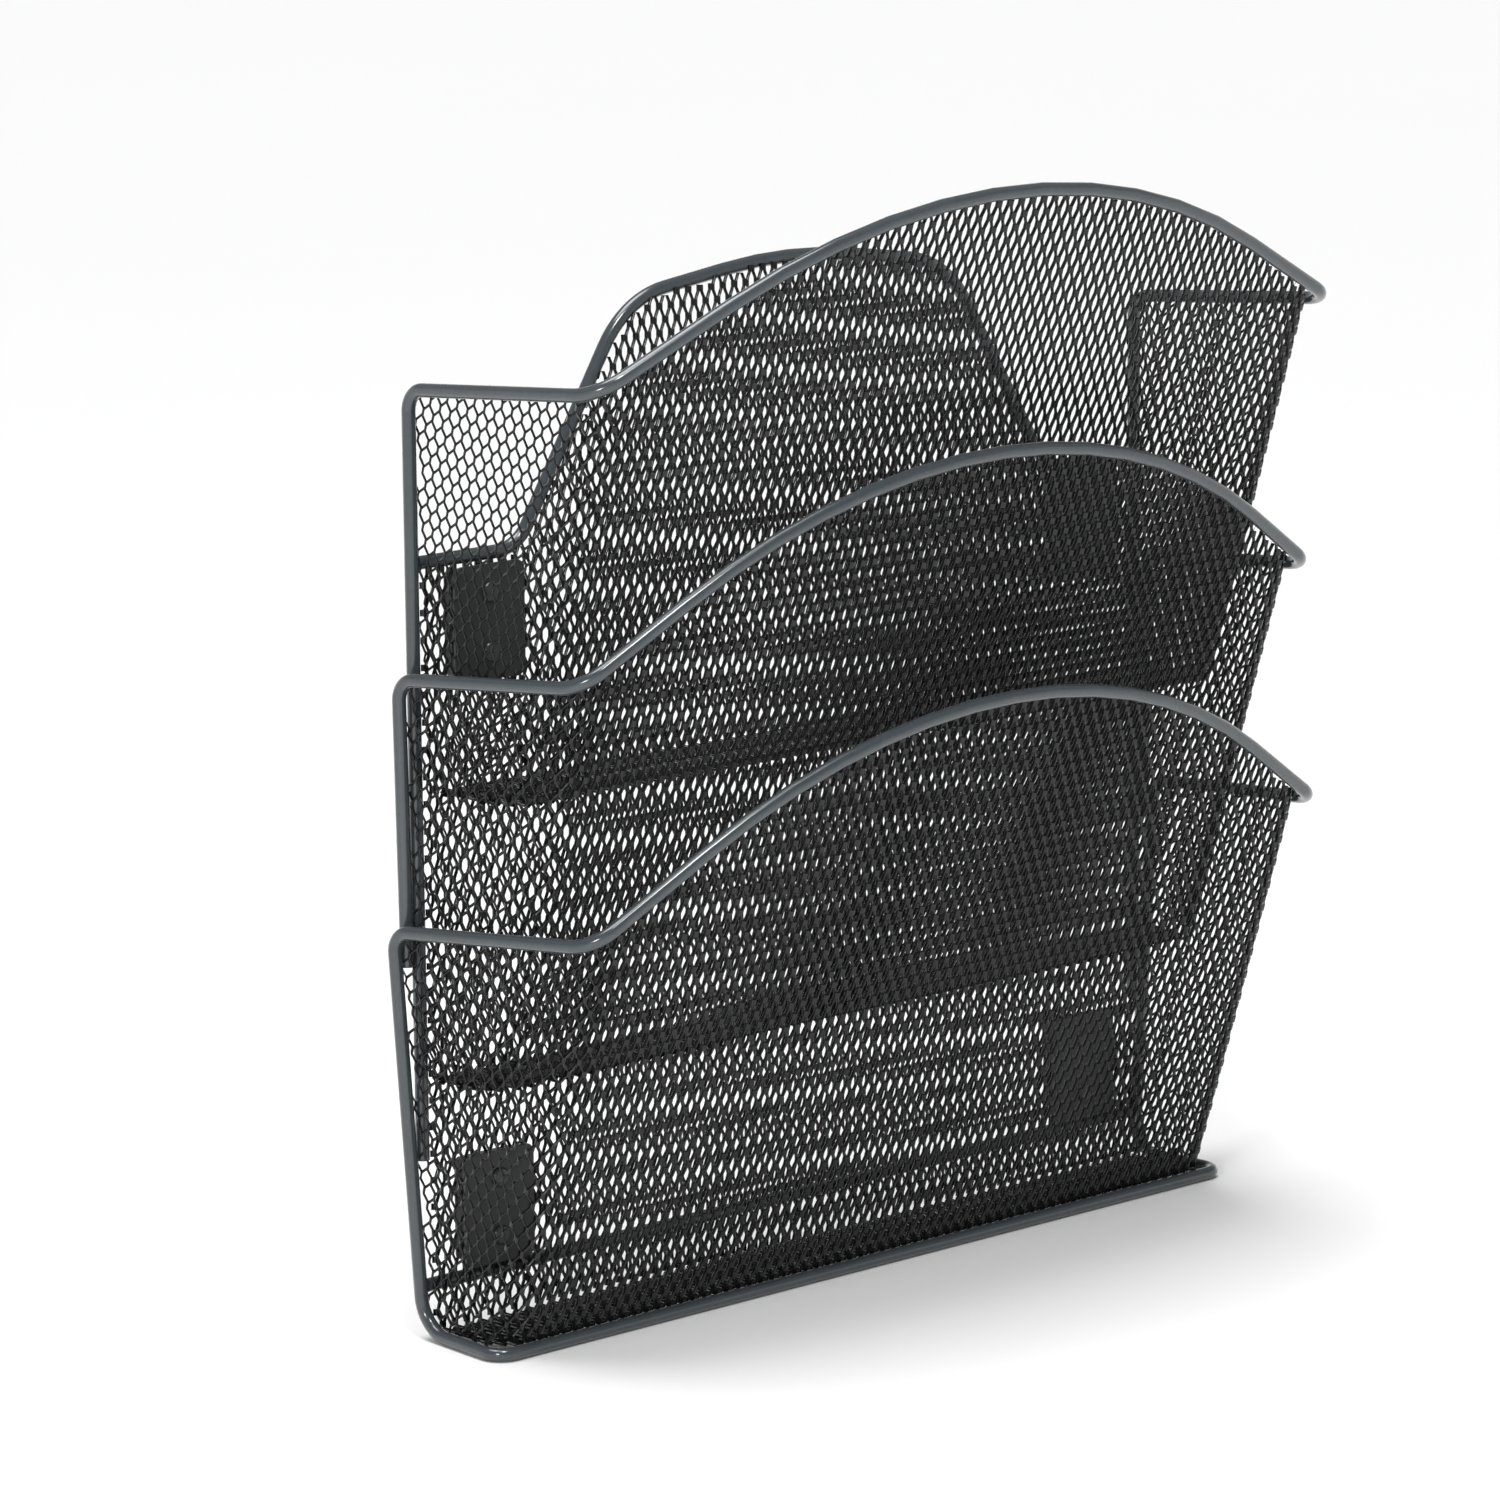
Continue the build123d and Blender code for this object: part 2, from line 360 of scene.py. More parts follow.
class GeometryTree(NodeTree):
    """A Geometry Nodes group with named inputs."""

    def __init__(self, name: str, inputs: dict[str, str]) -> None:
        """Make the group, its inputs and its geometry output.

        Args:
            name: The group's name.
            inputs: Input name to Blender socket type.
        """
        super().__init__(bpy.data.node_groups.new(name, "GeometryNodeTree"))
        face = self.tree.interface
        self.keys: dict[str, str] = {}
        face.new_socket(name="Geometry", in_out="INPUT", socket_type="NodeSocketGeometry")
        for label, kind in inputs.items():
            made = face.new_socket(name=label, in_out="INPUT", socket_type=kind)
            self.keys[label] = made.identifier
        face.new_socket(name="Geometry", in_out="OUTPUT", socket_type="NodeSocketGeometry")
        self.given = self.node("NodeGroupInput")

    def arg(self, name: str) -> Value:
        """One of the group's inputs."""
        return self.out(self.given, name)

    def end(self, geometry: object) -> None:
        """Close the tree with Realize Instances and Set Material."""
        real = self.node("GeometryNodeRealizeInstances", Geometry=geometry)
        finish = self.arg("Finish")
        done = self.node("GeometryNodeSetMaterial", Geometry=real.outputs[0], Material=finish)
        self.node("NodeGroupOutput", Geometry=done.outputs[0])

    def run(self, source: bpy.types.Object, name: str, **values: object) -> bpy.types.Object:
        """Run the tree on an object and keep the result as a plain mesh.

        Args:
            source: The object that holds the input geometry. It is removed.
            name: Name of the finished piece.
            **values: Input values keyed by name with _ for a space.

        Returns:
            The finished piece, at the origin.
        """
        modifier = source.modifiers.new("make", "NODES")
        modifier.node_group = self.tree
        for key, value in values.items():
            modifier[self.keys[key.replace("_", " ")]] = value
        source.update_tag()
        graph = bpy.context.evaluated_depsgraph_get()
        mesh = bpy.data.meshes.new_from_object(source.evaluated_get(graph))
        source.modifiers.remove(modifier)
        bpy.data.objects.remove(source)
        mesh.name = name
        piece = bpy.data.objects.new(name, mesh)
        bpy.context.scene.collection.objects.link(piece)
        return piece


def rod_tree() -> GeometryTree:
    """Build the tree that turns a path into a round rod.

    Returns:
        The tree.
    """
    tree = GeometryTree(
        "round_rod",
        {
            "Radius": "NodeSocketFloat",
            "Sides": "NodeSocketInt",
            "Finish": "NodeSocketMaterial",
        },
    )
    curve = tree.node("GeometryNodeMeshToCurve", Mesh=tree.arg("Geometry"))
    ring = tree.node(
        "GeometryNodeCurvePrimitiveCircle", Resolution=tree.arg("Sides"), Radius=tree.arg("Radius")
    )
    tube = tree.node(
        "GeometryNodeCurveToMesh",
        Curve=curve.outputs[0],
        Profile_Curve=ring.outputs[0],
        Fill_Caps=True,
    )
    smooth = tree.node("GeometryNodeSetShadeSmooth", Geometry=tube.outputs[0])
    tree.end(smooth.outputs[0])
    return tree


def lattice_tree() -> GeometryTree:
    """Build the tree that lays expanded metal over a bent sheet.

    The sheet carries two point attributes: flat, its place before bending, and outward, its
    normal. Cells stand in half-offset rows on the flat pattern, and every corner of every strand
    then moves to the bent sheet.

    Returns:
        The tree.
    """
    tree = GeometryTree(
        "expanded_metal",
        {
            "Cell": "NodeSocketObject",
            "Start": "NodeSocketVector",
            "Columns": "NodeSocketInt",
            "Rows": "NodeSocketInt",
            "Cell Width": "NodeSocketFloat",
            "Cell Height": "NodeSocketFloat",
            "Finish": "NodeSocketMaterial",
        },
    )
    sheet = tree.arg("Geometry")
    flat = tree.node("GeometryNodeInputNamedAttribute", {"data_type": "FLOAT_VECTOR"}, Name="flat")
    outward = tree.node(
        "GeometryNodeInputNamedAttribute", {"data_type": "FLOAT_VECTOR"}, Name="outward"
    )
    index = tree.out(tree.node("GeometryNodeInputIndex"))
    row = (index / tree.arg("Columns")).floor()
    column = index % tree.arg("Columns")
    start = tree.node("ShaderNodeSeparateXYZ", Vector=tree.arg("Start"))
    across = tree.out(start, "X") + (column + (row % 2.0) * 0.5) * tree.arg("Cell Width")
    along = tree.out(start, "Y") + row * tree.arg("Cell Height") * 0.5
    spot = tree.node("ShaderNodeCombineXYZ", X=across, Y=along)
    count = tree.arg("Columns") * tree.arg("Rows")
    points = tree.node("GeometryNodePoints", Count=count, Position=spot.outputs[0])
    here = tree.node("GeometryNodeInputPosition").outputs[0]

    def sampled(value: bpy.types.NodeSocket | None) -> bpy.types.Node:
        """Read a value of the sheet at the place a point has on the flat pattern.

        Args:
            value: What to read.

        Returns:
            The sampling node.
        """
        made = tree.node("GeometryNodeSampleUVSurface", {"data_type": "FLOAT_VECTOR"})
        tree.feed(pick(made.inputs, "Mesh"), sheet)
        tree.feed(pick(made.inputs, "Value"), value)
        tree.feed(pick(made.inputs, "UV Map"), tree.out(flat, "Attribute"))
        tree.feed(pick(made.inputs, "Sample UV"), here)
        return made

    place = sampled(here)
    off = tree.node("FunctionNodeBooleanMath", {"operation": "NOT"})
    tree.feed(off.inputs[0], tree.out(place, "Is Valid"))
    kept = tree.node(
        "GeometryNodeDeleteGeometry",
        {"domain": "POINT"},
        Geometry=points.outputs[0],
        Selection=off.outputs[0],
    )
    cell = tree.node(
        "GeometryNodeObjectInfo", {"transform_space": "ORIGINAL"}, Object=tree.arg("Cell")
    )
    laid = tree.node(
        "GeometryNodeInstanceOnPoints", Points=kept.outputs[0], Instance=tree.out(cell, "Geometry")
    )
    real = tree.node("GeometryNodeRealizeInstances", Geometry=laid.outputs[0])
    cut = tree.node(
        "GeometryNodeDeleteGeometry",
        {"domain": "POINT"},
        Geometry=real.outputs[0],
        Selection=off.outputs[0],
    )
    normal = sampled(tree.out(outward, "Attribute"))
    height = tree.node("ShaderNodeSeparateXYZ", Vector=here)
    rise = tree.node("ShaderNodeVectorMath", {"operation": "SCALE"})
    tree.feed(rise.inputs[0], tree.out(normal, "Value"))
    tree.feed(pick(rise.inputs, "Scale"), tree.out(height, "Z"))
    there = tree.node("ShaderNodeVectorMath", {"operation": "ADD"})
    tree.feed(there.inputs[0], tree.out(place, "Value"))
    tree.feed(there.inputs[1], rise.outputs[0])
    bent = tree.node("GeometryNodeSetPosition", Geometry=cut.outputs[0], Position=there.outputs[0])
    smooth = tree.node("GeometryNodeSetShadeSmooth", Geometry=bent.outputs[0])
    tree.end(smooth.outputs[0])
    return tree


# ------------------------------------------------------------------ mesh code


def mesh_object(
    name: str, points: np.ndarray, edges: list[tuple[int, int]], faces: list[tuple[int, ...]]
) -> bpy.types.Object:
    """Make an object from points in millimetres.

    Args:
        name: The object's name.
        points: One row per point, in millimetres.
        edges: Pairs of point numbers, where there are no faces.
        faces: Tuples of point numbers.

    Returns:
        The object, linked to the scene, in metres.
    """
    mesh = bpy.data.meshes.new(name)
    mesh.from_pydata((np.asarray(points) * MM).tolist(), edges, faces)
    made = bpy.data.objects.new(name, mesh)
    bpy.context.scene.collection.objects.link(made)
    return made


def finish_piece(
    piece: bpy.types.Object, slot: Slot, material: bpy.types.Material, *nodes: str
) -> bpy.types.Object:
    """Give a piece its finish and its place in the frame.

    Args:
        piece: The finished mesh.
        slot: Record slot that its finish comes from; not used.
        material: Its material.
        *nodes: CAD nodes that it stands for.

    Returns:
        The piece.
    """
    piece.data.materials.clear()
    piece.data.materials.append(material)
    if nodes:
        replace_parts(piece, *nodes)
    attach(piece, "root")
    log.info("%s: %d faces", piece.name, len(piece.data.polygons))
    return piece


def bent_path(points: list[Point], radii: list[float], closed: bool = False) -> np.ndarray:
    """Follow straight runs joined by arcs that touch both runs.

    Args:
        points: Sharp corners of the path.
        radii: Bend radius at each corner, without the two ends of an open path.
        closed: True if the last point joins the first.

    Returns:
        Points along the path, close together on the bends.
    """
    step = math.radians(5.0)
    pts = [np.array(p, float) for p in points]
    count = len(pts)
    corners = range(count) if closed else range(1, count - 1)
    made = [] if closed else [pts[0]]
    for radius, i in zip(radii, corners):
        here = pts[i]
        back = pts[i - 1] - here
        on = pts[(i + 1) % count] - here
        back /= np.linalg.norm(back)
        on /= np.linalg.norm(on)
        half = math.acos(max(-1.0, min(1.0, float(back @ on)))) / 2
        centre = here + (back + on) / np.linalg.norm(back + on) * radius / math.sin(half)
        first = here + back * radius / math.tan(half) - centre
        last = here + on * radius / math.tan(half) - centre
        turn = math.pi - 2 * half
        parts = max(2, math.ceil(turn / step))
        for k in range(parts + 1):
            a = turn * k / parts
            arm = (first * math.sin(turn - a) + last * math.sin(a)) / math.sin(turn)
            made.append(centre + arm)
    if not closed:
        made.append(pts[-1])
    return np.array(made)


def mirrored(points: list[Point]) -> list[Point]:
    """The points, then their mirror images in reverse order, without repeating the middle."""
    return points + [(-x, y, z) for x, y, z in reversed(points[:-1])]


@dataclass(frozen=True)
class ExpandedCell:
    """One knot of expanded metal and the two strands that leave it."""

    width: float = 4.7
    height: float = 8.2
    strand: float = 1.02
    thickness: float = 0.65
    knot: float = 1.9
    tilt: float = 40.0

    def build(self) -> bpy.types.Object:
        """Make the cell about its knot, with the sheet's outside towards +Z.

        Returns:
            The cell's object.
        """
        tilt = math.radians(self.tilt)
        wide = np.array([math.cos(tilt), 0.0, math.sin(tilt)])
        thick = np.array([-math.sin(tilt), 0.0, math.cos(tilt)])

        def section(centre: np.ndarray, half: float) -> list[np.ndarray]:
            """Find the corners of a strand's section.

            Args:
                centre: Middle of the section.
                half: Half the strand's width.

            Returns:
                Four corners in order.
            """
            t = self.thickness / 2
            return [
                centre - wide * half - thick * t,
                centre + wide * half - thick * t,
                centre + wide * half + thick * t,
                centre - wide * half + thick * t,
            ]

        end = self.knot / 2
        up = self.height / 2 - end
        s = self.strand / 2
        points = section(np.array([0, -end, 0]), self.strand)
        points += section(np.array([0, end, 0]), self.strand)
        for side in (1, -1):
            points += section(np.array([0, end, 0]) + wide * s * side, s)
            points += section(np.array([side * self.width / 2, up, 0]) - wide * s * side, s)
        faces = []
        for base in (0, 8, 16):
            for k in range(4):
                n = (k + 1) % 4
                faces.append((base + k, base + 4 + k, base + 4 + n, base + n))
        return mesh_object("expanded_cell", np.array(points), [], faces)


@dataclass
class Sheet:
    """A bent sheet as a grid of points, with its flat pattern and its outward direction."""

    name: str
    grid: np.ndarray
    flat: np.ndarray
    outward: np.ndarray

    def carrier(self) -> bpy.types.Object:
        """Make the sheet's object, with its attributes.

        Returns:
            The object.
        """
        rows, columns = self.grid.shape[:2]
        faces = [
            (r * columns + c, r * columns + c + 1, (r + 1) * columns + c + 1, (r + 1) * columns + c)
            for r in range(rows - 1)
            for c in range(columns - 1)
        ]
        made = mesh_object(self.name + "_carrier", self.grid.reshape(-1, 3), [], faces)
        for label, values in (("flat", self.flat * MM), ("outward", self.outward)):
            attribute = made.data.attributes.new(label, "FLOAT_VECTOR", "POINT")
            attribute.data.foreach_set("vector", values.reshape(-1).astype(np.float32))
        return made

    def expand(
        self,
        tree: GeometryTree,
        cell: ExpandedCell,
        shape: bpy.types.Object,
        material: bpy.types.Material,
    ) -> bpy.types.Object:
        """Cover the sheet with expanded metal and put it in the frame.

        Args:
            tree: The lattice tree.
            cell: Sizes of one cell.
            shape: The cell's object.
            material: The sheet's finish.

        Returns:
            The finished piece.
        """
        low = self.flat.reshape(-1, 3).min(axis=0)
        high = self.flat.reshape(-1, 3).max(axis=0)
        columns = math.ceil((high[0] - low[0]) / cell.width) + 2
        rows = math.ceil((high[1] - low[1]) / (cell.height / 2)) + 2
        piece = tree.run(
            self.carrier(),
            self.name + "_expanded_metal",
            Cell=shape,
            Start=[(low[0] - cell.width * 0.6) * MM, (low[1] - cell.height * 0.2) * MM, 0.0],
            Columns=columns,
            Rows=rows,
            Cell_Width=cell.width * MM,
            Cell_Height=cell.height * MM,
            Finish=material,
        )
        return finish_piece(piece, Slot.MESH, material, self.name)


# ---------------------------------------------------------------- sub-assemblies


@dataclass(frozen=True)
class Pocket:
    """One pocket: a rim rod, a sheet round its sides and front, and a floor."""

    name: str
    rod_node: str
    floor_z: float
    rim_z: float
    rim_y: float
    arch_rise: float
    arch_angle: float
    leg_top_half: float
    leg_foot_half: float
    leg_foot_z: float
    base_half: float
    looped: bool = False

    @property
    def leg_top_z(self) -> float:
        """Height of the side rim where it meets the wall."""
        return self.rim_z - RIM_DROP

    @property
    def angle(self) -> float:
        """Slope of the front rim beside its corners."""
        return math.radians(self.arch_angle)

    @property
    def arch_peak(self) -> float:
        """Height, up the lean, where the front rim's two straight flanks would cross."""
        return RIM_HALF * math.tan(self.angle)

    @property
    def arch_radius(self) -> float:
        """Radius that rounds that crossing."""
        drop = self.arch_peak - self.arch_rise / math.cos(LEAN)
        return drop / (1 / math.cos(self.angle) - 1)

    def front_y(self, z: float) -> float:
        """Depth of the leaning front at a height."""
        return self.rim_y - (z - self.rim_z) * math.tan(LEAN)

    def leg_half(self, z: float) -> float:
        """Half width between the legs at a height."""
        slope = (self.leg_top_half - self.leg_foot_half) / (self.leg_top_z - self.leg_foot_z)
        return self.leg_top_half + (z - self.leg_top_z) * slope

    def corner_half(self, z: float) -> float:
        """Half width of the front corners at a height."""
        slope = (RIM_HALF - self.base_half) / (self.rim_z - self.floor_z)
        return RIM_HALF + (z - self.rim_z) * slope

    def arch_z(self, x: float) -> float:
        """Height of the front rim at a distance from the middle.

        Args:
            x: Distance from the centre line, on either side.

        Returns:
            The rod's centre height.
        """
        x = abs(x)
        radius = self.arch_radius
        touch = radius * math.sin(self.angle)
        if x >= touch:
            up = (RIM_HALF - x) * math.tan(self.angle)
        else:
            up = self.arch_peak - radius / math.cos(self.angle) + math.sqrt(radius**2 - x**2)
        return self.rim_z + up * math.cos(LEAN)

    def corner_z(self, x: float, y: float) -> float:
        """Height of the plane that holds the side rim and the front rim's flank.

        Args:
            x: Distance from the centre line, on either side.
            y: Place in front of the wall.

        Returns:
            The plane's height there.
        """
        corner = np.array([RIM_HALF, self.rim_y, self.rim_z])
        to_wall = np.array([self.leg_top_half, LEG_Y, self.leg_top_z]) - corner
        flank = UP_THE_LEAN * math.sin(self.angle) - np.array([math.cos(self.angle), 0, 0])
        n = np.cross(to_wall, flank)
        return self.rim_z - (n[0] * (abs(x) - corner[0]) + n[1] * (y - corner[1])) / n[2]

    def bend_z(self, x: float, y: float) -> float:
        """Height of the bend that joins the side rim to the leg.

        Args:
            x: Distance from the centre line, on either side.
            y: Place in front of the wall.

        Returns:
            The rod's centre height, or infinity in front of the bend.
        """
        bend_y = LEG_Y - BACK_BEND_R
        if y <= bend_y:
            return math.inf
        centre_z = self.corner_z(x, bend_y) - BACK_BEND_R
        return centre_z + math.sqrt(max(0.0, BACK_BEND_R**2 - (y - bend_y) ** 2))

    def foot_z(self, y: float) -> float:
        """Height of the sheet's lower edge, which follows the base rod's bend at the wall.

        Args:
            y: Place in front of the wall.

        Returns:
            The edge's height there.
        """
        edge_z = self.floor_z + EDGE_LIFT
        bend_y = LEG_Y - BASE_BEND_R
        if not self.looped or y <= bend_y:
            return edge_z
        return edge_z + BASE_BEND_R - math.sqrt(max(0.0, BASE_BEND_R**2 - (y - bend_y) ** 2))

    def rim_path(self) -> np.ndarray:
        """Centre line of the rim rod, legs and base run included.

        Returns:
            Points along the rod.
        """
        peak_y = self.rim_y - self.arch_peak * math.sin(LEAN)
        peak_z = self.rim_z + self.arch_peak * math.cos(LEAN)
        rim = mirrored(
            [
                (-self.leg_top_half, LEG_Y, self.leg_top_z),
                (-RIM_HALF, self.rim_y, self.rim_z),
                (0.0, peak_y, peak_z),
            ]
        )
        radii = [BACK_BEND_R, CORNER_R, self.arch_radius, CORNER_R, BACK_BEND_R]
        if not self.looped:
            foot = (self.leg_foot_half, LEG_Y, self.leg_foot_z)
            return bent_path([(-foot[0], foot[1], foot[2])] + rim + [foot], radii)
        z = self.floor_z
        wall = self.leg_half(z)
        base = [
            (wall, LEG_Y, z),
            (self.base_half, self.front_y(z), z),
            (-self.base_half, self.front_y(z), z),
            (-wall, LEG_Y, z),
        ]
        bends = [BASE_BEND_R, BASE_CORNER_R, BASE_CORNER_R, BASE_BEND_R]
        return bent_path(rim + base, radii + bends, closed=True)

    def section(self, z: float, inset: float, rear_y: float, round_r: float) -> np.ndarray:
        """Plan of the pocket's sheet at a height, from the left leg round to the right leg.

        Args:
            z: The height.
            inset: Distance inside the sheet's outer face.
            rear_y: Depth of the two ends.
            round_r: Radius of the two front corners.

        Returns:
            Points of the plan, always the same number.
        """
        wall = self.leg_half(z) - SIDE_INSET - inset
        corner = self.corner_half(z) - SIDE_INSET - inset
        front_y = self.front_y(z) + FRONT_INSET + inset / math.cos(LEAN)
        knee = np.array([-corner, front_y])
        side = np.array([-wall, LEG_Y]) - knee
        end = knee + side * (rear_y - front_y) / side[1]
        side = side / np.linalg.norm(side)
        across = np.array([1.0, 0.0])
        half = math.acos(float(side @ across)) / 2
        first = knee + side * round_r / math.tan(half)
        last = knee + across * round_r / math.tan(half)
        centre = knee + (side + across) / np.linalg.norm(side + across) * round_r / math.sin(half)
        run = np.linalg.norm(first - end)
        steps = np.concatenate([np.linspace(0, 9, 10), np.linspace(9, run, 8)[1:-1]])
        made = [end + (first - end) * step / run for step in steps]
        turn = math.pi - 2 * half
        for k in range(13):
            a = turn * k / 12
            arm = (first - centre) * math.sin(turn - a) + (last - centre) * math.sin(a)
            made.append(centre + arm / math.sin(turn))
        left = np.array(made)
        middle = [np.array([last[0] * (1 - k / 20), last[1]]) for k in range(1, 21)]
        left = np.vstack([left, middle])
        right = left[-2::-1] * np.array([-1.0, 1.0])
        return np.vstack([left, right])

    def wrap(self) -> Sheet:
        """The sheet that makes both sides and the front.

        Returns:
            The sheet.
        """
        inset, rear_y, rows = MESH_T / 2, LEG_Y + PAST_LEG, WRAP_ROWS
        round_r = CORNER_R - inset
        columns = len(self.section(self.floor_z, inset, rear_y, round_r))
        grid = np.zeros((rows, columns, 3))
        for c in range(columns):
            top = self.rim_z
            for _ in range(6):
                x, y = self.section(top, inset, rear_y, round_r)[c]
                top = min(self.arch_z(x), self.corner_z(x, y), self.bend_z(x, y))
            low = self.foot_z(self.section(self.floor_z, inset, rear_y, round_r)[c][1])
            for r in range(rows):
                z = low + (top + 0.6 - low) * r / (rows - 1)
                x, y = self.section(z, inset, rear_y, round_r)[c]
                grid[r, c] = (x, y, z)
        start = np.array([0.0, self.front_y(self.floor_z) + FRONT_INSET, self.floor_z])
        along = (grid - start) @ UP_THE_LEAN
        behind = (grid - start) @ BEHIND_THE_LEAN
        plan = np.stack([grid[:, :, 0], behind], axis=2)
        middle = columns // 2
        hops = np.diff(plan, axis=1)
        away = np.where(np.arange(columns - 1) < middle, -1.0, 1.0) * np.sign(hops[:, :, 1])
        sideways = np.abs(hops[:, :, 1]) > np.abs(hops[:, :, 0])
        steps = np.linalg.norm(hops, axis=2) * np.where(sideways, away, 1.0)
        across = np.concatenate([np.zeros((rows, 1)), np.cumsum(steps, axis=1)], axis=1)
        across -= across[:, middle : middle + 1]
        flat = np.stack([across, along, np.zeros_like(along)], axis=2)
        return Sheet(f"{self.name}_pocket_wrap_mesh", grid, flat, outward_of(grid))

    def floor(self) -> Sheet:
        """The flat floor inside the foot of the wrap sheet.

        Returns:
            The sheet.
        """
        z = self.floor_z + MESH_T / 2
        half = self.corner_half(self.floor_z) - SIDE_INSET - MESH_T
        front = self.front_y(self.floor_z) + FRONT_INSET + MESH_T
        rear = BACK_FRONT_Y - 0.1
        rows = []
        for k in range(9):
            y = front + (rear - front) * k / 8
            inner = CORNER_R - MESH_T
            near = max(0.0, inner - (y - front))
            cut = inner - math.sqrt(max(0.0, inner**2 - near**2))
            wall = self.leg_half(self.floor_z) - SIDE_INSET - MESH_T
            edge = half + (wall - half) * (y - front) / (LEG_Y - front) - cut
            rows.append([(edge * (j / 10 - 1), y, z) for j in range(21)])
        grid = np.array(rows)
        flat = grid * np.array([1.0, 1.0, 0.0])
        up = np.zeros_like(grid)
        up[:, :, 2] = 1.0
        return Sheet(f"{self.name}_pocket_floor_mesh", grid, flat, up)

    def build(
        self,
        rods: GeometryTree,
        lattice: GeometryTree,
        cell: ExpandedCell,
        shape: bpy.types.Object,
        finishes: dict[Slot, bpy.types.Material],
    ) -> None:
        """Make and dress the pocket's three pieces.

        Args:
            rods: The rod tree.
            lattice: The expanded metal tree.
            cell: Sizes of one cell.
            shape: The cell's object.
            finishes: Materials by slot.
        """
        make_rod(rods, self.rim_path(), self.rod_node, finishes[Slot.ROD], self.looped)
        self.wrap().expand(lattice, cell, shape, finishes[Slot.MESH])
        self.floor().expand(lattice, cell, shape, finishes[Slot.MESH])


def outward_of(grid: np.ndarray) -> np.ndarray:
    """Unit normals of a grid of points whose rows run left to right and climb.

    Args:
        grid: Rows by columns by three.

    Returns:
        Normals of the same shape.
    """
    along = np.gradient(grid, axis=0)
    across = np.gradient(grid, axis=1)
    normal = np.cross(across, along)
    return normal / np.linalg.norm(normal, axis=2, keepdims=True)


def make_rod(
    tree: GeometryTree,
    path: np.ndarray,
    node: str,
    material: bpy.types.Material,
    closed: bool = False,
) -> bpy.types.Object:
    """Make a coated rod along a path, in place of its CAD node.

    Args:
        tree: The rod tree.
        path: Points of its centre line.
        node: The CAD node that it stands for.
        material: Its finish.
        closed: True for a loop.

    Returns:
        The finished piece.
    """
    edges = [(i, i + 1) for i in range(len(path) - 1)]
    if closed:
        edges.append((len(path) - 1, 0))
    source = mesh_object(node + "_path", path, edges, [])
    piece = tree.run(source, node + "_coated", Radius=WIRE_R * MM, Sides=24, Finish=material)
    return finish_piece(piece, Slot.ROD, material, node)


@dataclass(frozen=True)
class Back:
    """The back: its sheet, the rod over its top and the rod across its foot."""

    half: float = 151.3
    base_z: float = 1.2
    shoulder_z: float = 235.5
    shoulder_x: float = 111.0
    hump_x: float = 67.0
    hump_z: float = 306.0
    hump_top_z: float = 315.0
    lower_rod_z: float = 16.0
    rod_half: float = 149.25
    lower_half: float = 150.94

    def top_path(self, end: float) -> np.ndarray:
        """Line over the top of the back, from left to right.

        Args:
            end: Half width of the line.

        Returns:
            Points along it.
        """
        left = [
            (-end, LEG_Y, self.shoulder_z),
            (-self.shoulder_x, LEG_Y, self.shoulder_z),
            (-self.hump_x, LEG_Y, self.hump_z),
            (0.0, LEG_Y, self.hump_top_z),
        ]
        return bent_path(mirrored(left), [14.0, 34.0, 200.0, 34.0, 14.0])

    def sheet(self) -> Sheet:
        """The back sheet.

        Returns:
            The sheet.
        """
        line = self.top_path(self.half)
        xs = np.unique(np.concatenate([np.linspace(-self.half, self.half, 61), line[:, 0]]))
        tops = np.interp(xs, line[:, 0], line[:, 2])
        y = BACK_FRONT_Y + MESH_T / 2
        grid = np.array(
            [
                [(x, y, self.base_z + (top - self.base_z) * r / 20) for x, top in zip(xs, tops)]
                for r in range(21)
            ]
        )
        flat = grid[:, :, [0, 2, 1]] * np.array([1.0, 1.0, 0.0])
        out = np.zeros_like(grid)
        out[:, :, 1] = -1.0
        return Sheet("back_mesh_panel", grid, flat, out)

    def build(
        self,
        rods: GeometryTree,
        lattice: GeometryTree,
        cell: ExpandedCell,
        shape: bpy.types.Object,
        finishes: dict[Slot, bpy.types.Material],
    ) -> None:
        """Make and dress the back's three pieces.

        Args:
            rods: The rod tree.
            lattice: The expanded metal tree.
            cell: Sizes of one cell.
            shape: The cell's object.
            finishes: Materials by slot.
        """
        self.sheet().expand(lattice, cell, shape, finishes[Slot.MESH])
        make_rod(rods, self.top_path(self.rod_half), "back_top_rod", finishes[Slot.ROD])
        lower = np.array([(x, LEG_Y, self.lower_rod_z) for x in np.linspace(-1, 1, 9)])
        lower[:, 0] *= self.lower_half
        make_rod(rods, lower, "back_lower_rod", finishes[Slot.ROD])


